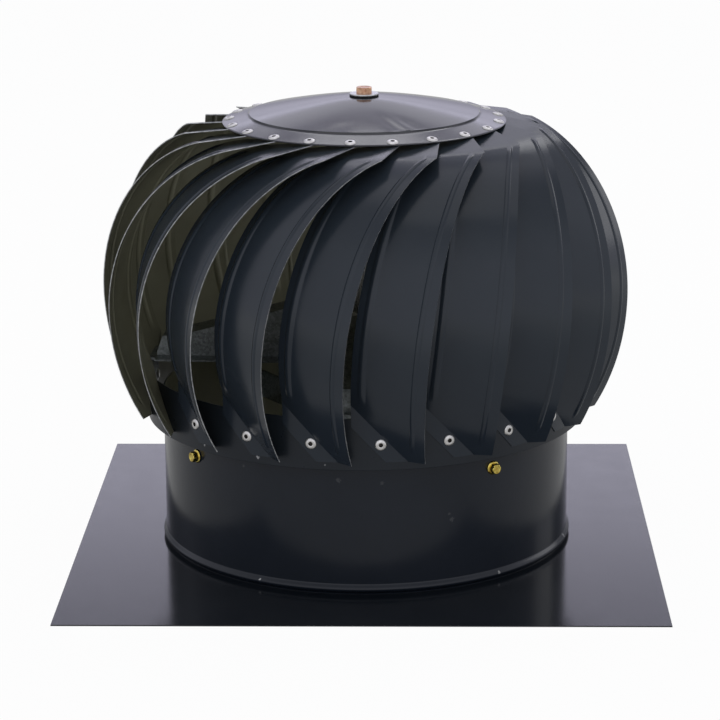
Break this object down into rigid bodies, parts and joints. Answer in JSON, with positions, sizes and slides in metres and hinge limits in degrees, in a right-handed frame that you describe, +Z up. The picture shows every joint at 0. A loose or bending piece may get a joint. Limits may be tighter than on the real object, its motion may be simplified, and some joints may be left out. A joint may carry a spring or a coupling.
{
  "type": "rotating chimney cowl",
  "caption": "Wind-driven chimney cowl: a globe of curved overlapping sheet blades under a domed cap turns on a shaft above a round collar on a square base plate.",
  "frame": {"origin": "centre of the base plate's underside, on the rotor's axis", "axes": "+Z up along the rotor's axis, +X and +Y square to the base plate's sides, front of the picture towards -Y"},
  "size_m": [0.5, 0.5, 0.3961],
  "materials": {
    "plate_paint": "gloss charcoal paint on sheet",
    "collar_paint": "gloss charcoal paint on rolled sheet",
    "ring_paint": "satin charcoal paint on rolled sheet",
    "blade_paint": "satin charcoal paint outside, bare cut edges",
    "cap_paint": "gloss charcoal paint on pressed sheet",
    "galvanised": "galvanised, with spangle",
    "yellow_zinc": "yellow zinc plating",
    "aluminium": "mill finish",
    "bright_steel": "turned steel",
    "bearing_steel": "ground",
    "white_zinc": "bright zinc plating",
    "seal_rubber": "matt"
  },
  "bodies": {
    "base": {"base_plate": "plate_paint", "collar": "collar_paint", "bridge_arm_1": "galvanised", "bridge_arm_2": "galvanised", "bridge_arm_3": "galvanised", "bridge_arm_4": "galvanised", "bridge_screws": "yellow_zinc", "bearing_housing": "bright_steel", "lower_bearing_outer_ring": "bearing_steel", "upper_bearing_outer_ring": "bearing_steel"},
    "rotor": {"lower_ring": "ring_paint", "blade_01": "blade_paint", "blade_02": "blade_paint", "blade_03": "blade_paint", "blade_04": "blade_paint", "blade_05": "blade_paint", "blade_06": "blade_paint", "blade_07": "blade_paint", "blade_08": "blade_paint", "blade_09": "blade_paint", "blade_10": "blade_paint", "blade_11": "blade_paint", "blade_12": "blade_paint", "blade_13": "blade_paint", "blade_14": "blade_paint", "blade_15": "blade_paint", "blade_16": "blade_paint", "blade_17": "blade_paint", "blade_18": "blade_paint", "blade_19": "blade_paint", "blade_20": "blade_paint", "blade_21": "blade_paint", "top_cap": "cap_paint", "spider_arm_1": "galvanised", "spider_arm_2": "galvanised", "spider_arm_3": "galvanised", "spider_arm_4": "galvanised", "spider_bracket_1": "galvanised", "spider_bracket_2": "galvanised", "spider_bracket_3": "galvanised", "spider_bracket_4": "galvanised", "cap_bolt": "yellow_zinc", "bottom_rivets": "aluminium", "top_rivets": "aluminium", "bracket_rivets": "aluminium", "hub_rivets": "aluminium", "shaft": "bright_steel", "spider_hub": "bright_steel", "hub_nut": "bright_steel", "shaft_snap_ring": "bright_steel", "lower_bearing_inner_ring": "bearing_steel", "upper_bearing_inner_ring": "bearing_steel", "cap_washer": "white_zinc", "cap_seal": "seal_rubber"}
  },
  "joints": [
    {"name": "rotor_spin", "type": "hinge", "parent": "base", "child": "rotor", "pos_m": [0, 0, 0.1], "axis": [0, 0, 1], "continuous": true}
  ]
}
